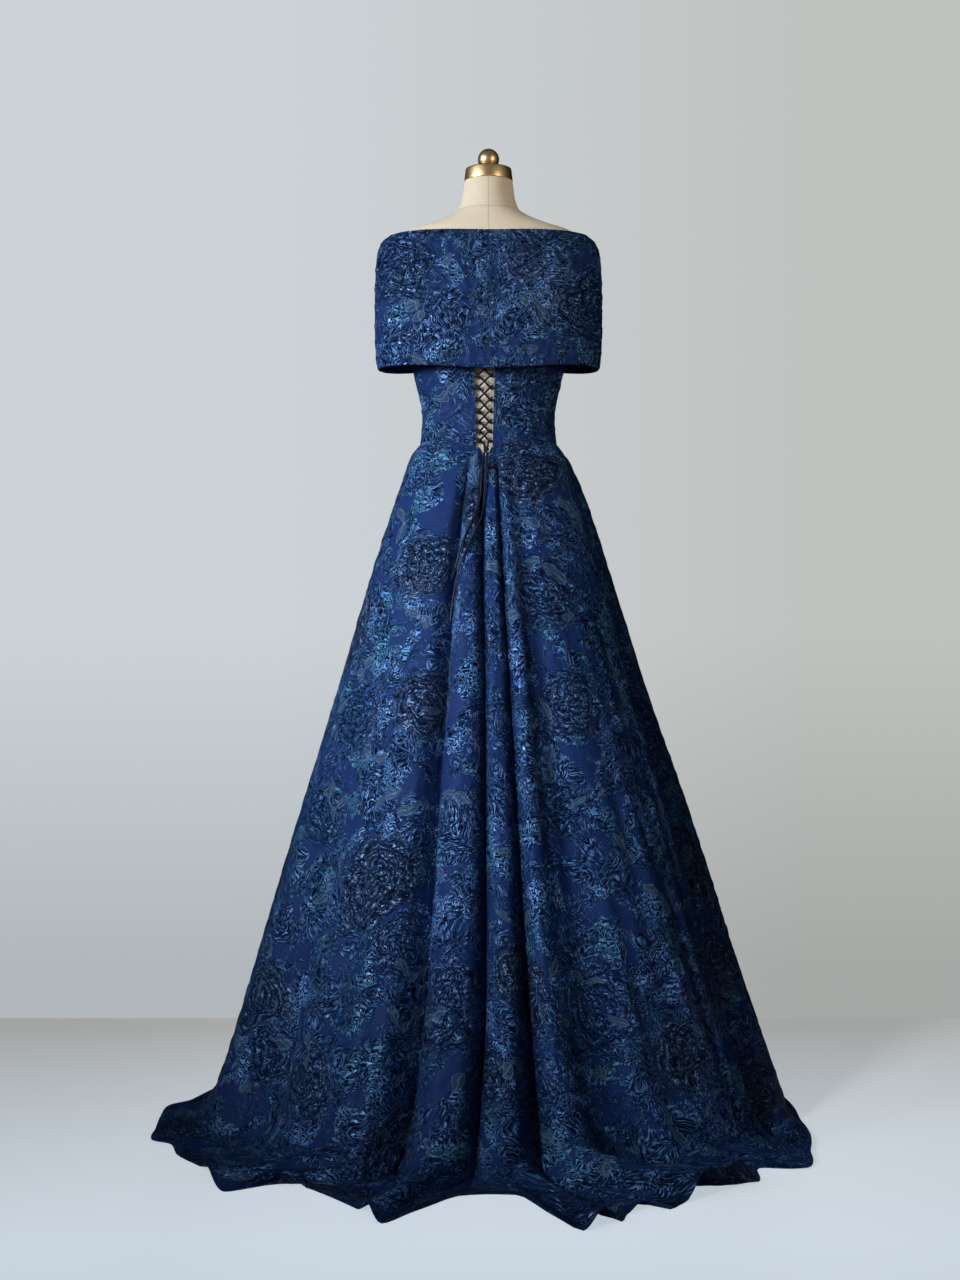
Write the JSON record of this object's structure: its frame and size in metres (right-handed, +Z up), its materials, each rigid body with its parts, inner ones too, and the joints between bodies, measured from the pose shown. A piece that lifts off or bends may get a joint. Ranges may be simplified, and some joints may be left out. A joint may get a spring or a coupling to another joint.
{
  "type": "a-line gown on a dress form",
  "caption": "Floor-length A-line gown with a wide off-the-shoulder collar, laced back and short train, on a limbless dress form with a round foot.",
  "frame": {"origin": "middle of the flat underside of the stand's foot, on the floor", "axes": "+Z up, +Y to the wearer's front, -Y to the laced back and the train, +X to the wearer's right"},
  "size_m": [1.1072, 1.1566, 1.7117],
  "materials": {
    "brocade": "satin",
    "linen": "matte",
    "brass": "satin",
    "iron": "satin",
    "lace": "matte"
  },
  "bodies": {
    "root": {"bodice_back_left": "brocade", "bodice_back_right": "brocade", "bodice_front": "brocade", "collar_back_left": "brocade", "collar_back_right": "brocade", "collar_front": "brocade", "skirt_back_left": "brocade", "skirt_back_right": "brocade", "skirt_front": "brocade", "form_torso": "linen", "form_finial": "brass", "form_neck_cap": "brass", "stand_foot": "iron", "stand_pole": "iron", "lace": "lace", "lace_knot": "lace", "lace_loop_left_1": "lace", "lace_loop_left_2": "lace", "lace_loop_left_3": "lace", "lace_loop_left_4": "lace", "lace_loop_left_5": "lace", "lace_loop_left_6": "lace", "lace_loop_left_7": "lace", "lace_loop_left_8": "lace", "lace_loop_left_9": "lace", "lace_loop_right_1": "lace", "lace_loop_right_2": "lace", "lace_loop_right_3": "lace", "lace_loop_right_4": "lace", "lace_loop_right_5": "lace", "lace_loop_right_6": "lace", "lace_loop_right_7": "lace", "lace_loop_right_8": "lace", "lace_loop_right_9": "lace", "lace_tail_left": "lace", "lace_tail_right": "lace"}
  },
  "joints": []
}
